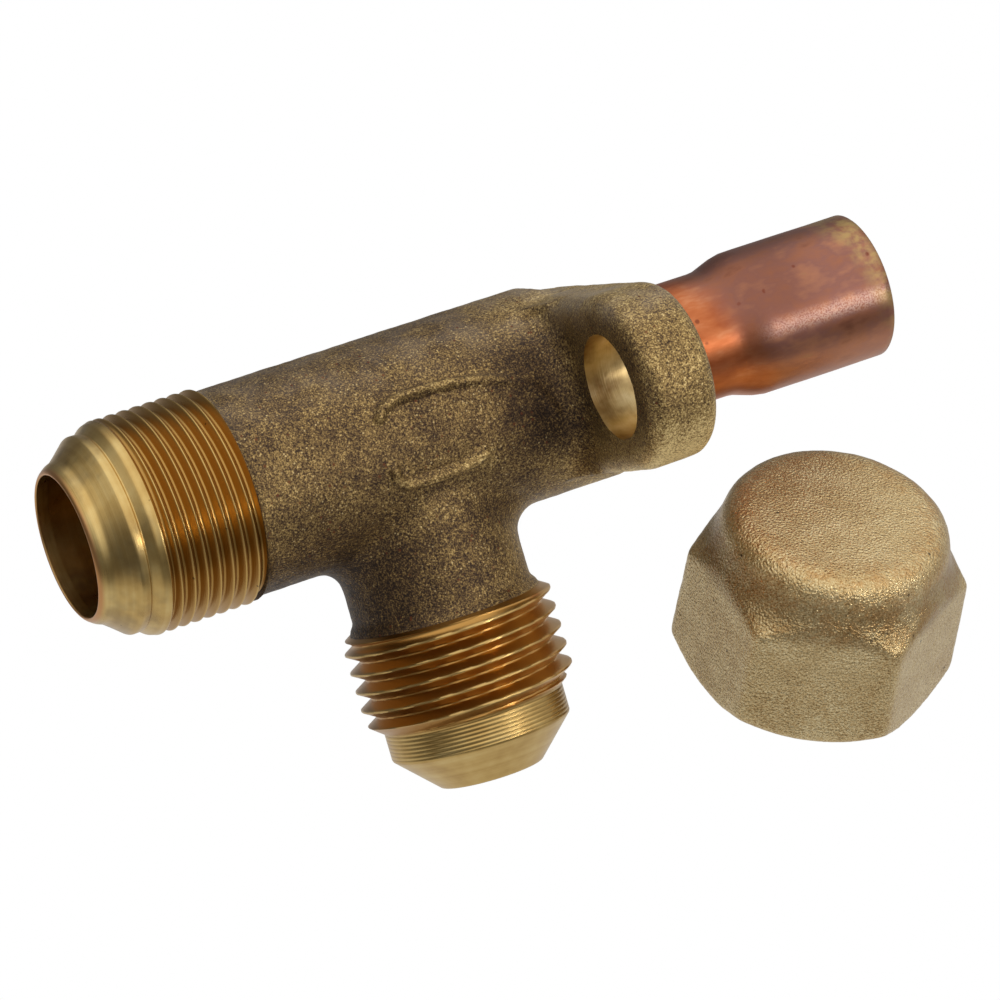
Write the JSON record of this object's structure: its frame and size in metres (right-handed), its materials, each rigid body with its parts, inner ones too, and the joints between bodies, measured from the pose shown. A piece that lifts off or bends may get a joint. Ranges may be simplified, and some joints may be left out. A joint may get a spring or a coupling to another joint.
{
  "type": "refrigerant service valve",
  "caption": "Forged brass service valve with capped spindle end, two-eared mounting flange, side flare branch and brazed swaged copper stub; hexagon sealing cap lies beside it.",
  "frame": {"origin": "centre of the mounting flange's rear face, on the body axis", "axes": "+X along the body towards the copper stub, +Z away from the flare branch, +Y along the flange towards the far ear"},
  "size_m": [0.0656, 0.041, 0.0405],
  "materials": {
    "forged_brass": "gritty tarnished forging with bright turned ends",
    "turned_brass": "turned",
    "ring_rubber": "matt",
    "copper": "heat-tinted copper",
    "braze": "as brazed",
    "cap_brass": "blasted forging"
  },
  "bodies": {
    "valve": {"valve_body": "forged_brass", "copper_stub": "copper", "braze_ring": "braze", "sealing_cap": "cap_brass"},
    "spindle_ring": {"stem_o_ring": "ring_rubber"},
    "spindle": {"valve_stem": "turned_brass"}
  },
  "joints": [
    {"name": "stem_travel", "type": "slide", "parent": "valve", "child": "spindle_ring", "axis": [-1, 0, 0], "range_m": [0, 0.0055]},
    {"name": "stem_turn", "type": "hinge", "parent": "spindle_ring", "child": "spindle", "pos_m": [-0.0171, 0, 0], "axis": [-1, 0, 0], "range_deg": [0, 1979]}
  ],
  "couplings": [
    {"joint": "stem_travel", "follows": "stem_turn", "m_per_rad": 0.00015915}
  ]
}
